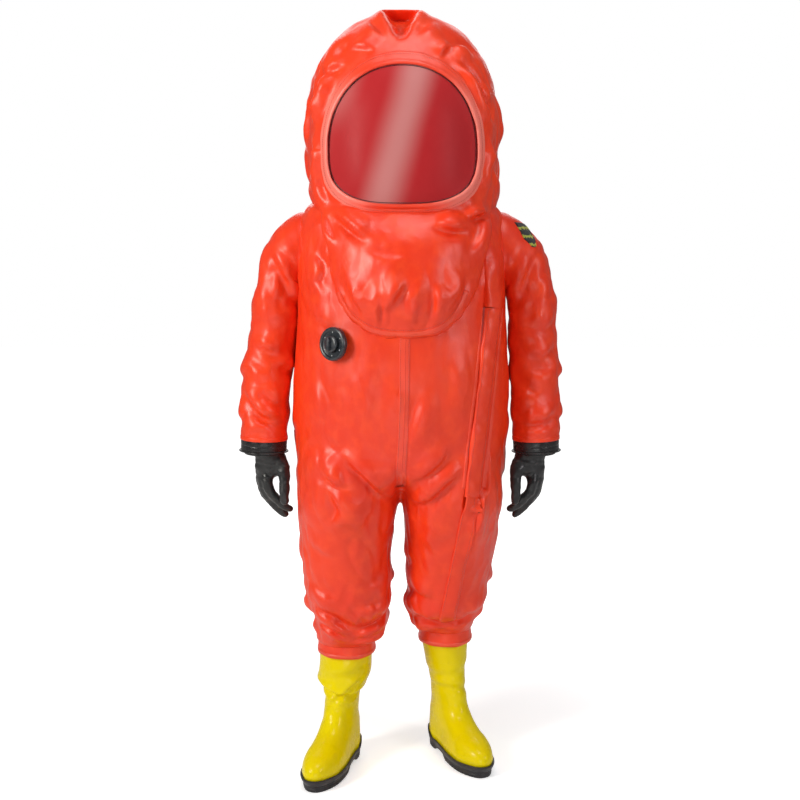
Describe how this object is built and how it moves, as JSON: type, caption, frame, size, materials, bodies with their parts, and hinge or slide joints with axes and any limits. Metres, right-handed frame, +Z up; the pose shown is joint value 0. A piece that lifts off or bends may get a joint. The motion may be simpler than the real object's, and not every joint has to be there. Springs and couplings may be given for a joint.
{
  "type": "chemical protective suit",
  "caption": "Gas-tight full-body protective suit with a domed hood and wide visor, bib front, chest air valve, sleeves with sealed gloves, and sewn-in yellow boots.",
  "frame": {"origin": "on the floor under the middle of the suit's bounding box, with the suit standing on its boots", "axes": "+Z up, -Y the way the wearer faces, +X towards the wearer's left"},
  "size_m": [0.8284, 0.6286, 1.953],
  "materials": {
    "suit_fabric": "coated, satin gloss",
    "boot_pvc": "moulded, glossy",
    "black_rubber": "matt",
    "black_plastic": "moulded, semi-gloss",
    "steel": "plain",
    "webbing": "woven",
    "visor_clear": "clear, glossy"
  },
  "bodies": {
    "suit": {"torso_shell": "suit_fabric", "hood_shell": "suit_fabric", "visor_lens": "visor_clear", "visor_frame": "suit_fabric", "visor_gasket": "black_rubber", "hood_bib": "suit_fabric", "breathing_set_cover": "suit_fabric", "exhaust_seat_left": "black_plastic", "exhaust_seat_right": "black_plastic", "exhaust_cover_left": "black_plastic", "exhaust_cover_right": "black_plastic", "air_valve_body": "black_plastic", "air_valve_gasket": "black_rubber", "air_valve_nut": "black_plastic", "front_seam_tape": "suit_fabric", "waist_belt": "webbing", "belt_buckle": "black_plastic", "zip_tape": "suit_fabric", "zip_chain": "steel", "leg_zip_tape": "suit_fabric", "leg_zip_flap": "suit_fabric", "shoulder_patch": "webbing", "leg_left": "suit_fabric", "leg_right": "suit_fabric", "hem_band_left": "suit_fabric", "hem_band_right": "suit_fabric", "boot_left": "boot_pvc", "boot_right": "boot_pvc", "sole_left": "black_rubber", "sole_right": "black_rubber", "insole_left": "webbing", "insole_right": "webbing", "toe_cap_left": "steel", "toe_cap_right": "steel", "shoulder_cap_left": "suit_fabric", "shoulder_cap_right": "suit_fabric", "shoulder_fold_left": "suit_fabric", "shoulder_fold_right": "suit_fabric"},
    "valve_knob": {"air_valve_knob": "black_plastic"},
    "zip_flap_body": {"zip_flap": "suit_fabric"},
    "zip_slider_body": {"zip_slider": "steel"},
    "zip_pull_body": {"zip_pull": "steel"},
    "upper_arm_left": {"upper_sleeve_left": "suit_fabric", "elbow_fold_left": "suit_fabric"},
    "forearm_left": {"forearm_sleeve_left": "suit_fabric", "cuff_ring_left": "black_rubber", "lock_ring_left": "black_rubber"},
    "hand_left": {"glove_ring_left": "black_plastic", "glove_left": "black_rubber"},
    "exhaust_valve_left": {"exhaust_disc_left": "black_rubber"},
    "upper_arm_right": {"upper_sleeve_right": "suit_fabric", "elbow_fold_right": "suit_fabric"},
    "forearm_right": {"forearm_sleeve_right": "suit_fabric", "cuff_ring_right": "black_rubber", "lock_ring_right": "black_rubber"},
    "hand_right": {"glove_ring_right": "black_plastic", "glove_right": "black_rubber"},
    "exhaust_valve_right": {"exhaust_disc_right": "black_rubber"}
  },
  "joints": [
    {"name": "shoulder_swing_left", "type": "hinge", "parent": "suit", "child": "upper_arm_left", "pos_m": [0.31, -0.0429, 1.262], "axis": [-1, 0, 0], "range_deg": [-20, 55], "deforming": ["shoulder_fold_left"]},
    {"name": "elbow_bend_left", "type": "hinge", "parent": "upper_arm_left", "child": "forearm_left", "pos_m": [0.346, -0.0429, 1.085], "axis": [-1, 0, 0], "range_deg": [0, 60], "deforming": ["elbow_fold_left"]},
    {"name": "glove_turn_left", "type": "hinge", "parent": "forearm_left", "child": "hand_left", "pos_m": [0.352, -0.0669, 0.8775], "axis": [-0.0349, 0, 0.9994], "range_deg": [-35, 35]},
    {"name": "exhaust_lift_left", "type": "slide", "parent": "suit", "child": "exhaust_valve_left", "axis": [0.5558, 0.8037, 0.2124], "range_m": [0, 0.004], "stiffness_N_per_m": 40, "springref_m": -0.002},
    {"name": "shoulder_swing_right", "type": "hinge", "parent": "suit", "child": "upper_arm_right", "pos_m": [-0.31, -0.0429, 1.262], "axis": [-1, 0, 0], "range_deg": [-20, 55], "deforming": ["shoulder_fold_right"]},
    {"name": "elbow_bend_right", "type": "hinge", "parent": "upper_arm_right", "child": "forearm_right", "pos_m": [-0.346, -0.0429, 1.085], "axis": [-1, 0, 0], "range_deg": [0, 60], "deforming": ["elbow_fold_right"]},
    {"name": "glove_turn_right", "type": "hinge", "parent": "forearm_right", "child": "hand_right", "pos_m": [-0.352, -0.0669, 0.8775], "axis": [0.0349, 0, 0.9994], "range_deg": [-35, 35]},
    {"name": "exhaust_lift_right", "type": "slide", "parent": "suit", "child": "exhaust_valve_right", "axis": [-0.5558, 0.8042, 0.2107], "range_m": [0, 0.004], "stiffness_N_per_m": 40, "springref_m": -0.002},
    {"name": "air_valve_turn", "type": "hinge", "parent": "suit", "child": "valve_knob", "pos_m": [-0.1593, -0.24847, 1.13787], "axis": [-0.6416, -0.7647, 0.0599], "range_deg": [0, 90]},
    {"name": "flap_open", "type": "hinge", "parent": "suit", "child": "zip_flap_body", "pos_m": [0.2423, -0.18717, 1.21957], "axis": [0.1066, 0.0356, 0.9937], "range_deg": [0, 105]},
    {"name": "zip_run", "type": "slide", "parent": "suit", "child": "zip_slider_body", "axis": [-0.1066, -0.0356, -0.9937], "range_m": [0, 0.38]},
    {"name": "pull_lift", "type": "hinge", "parent": "zip_slider_body", "child": "zip_pull_body", "pos_m": [0.22166, -0.20415, 1.17368], "axis": [-0.7836, -0.6122, 0.106], "range_deg": [0, 12]}
  ]
}
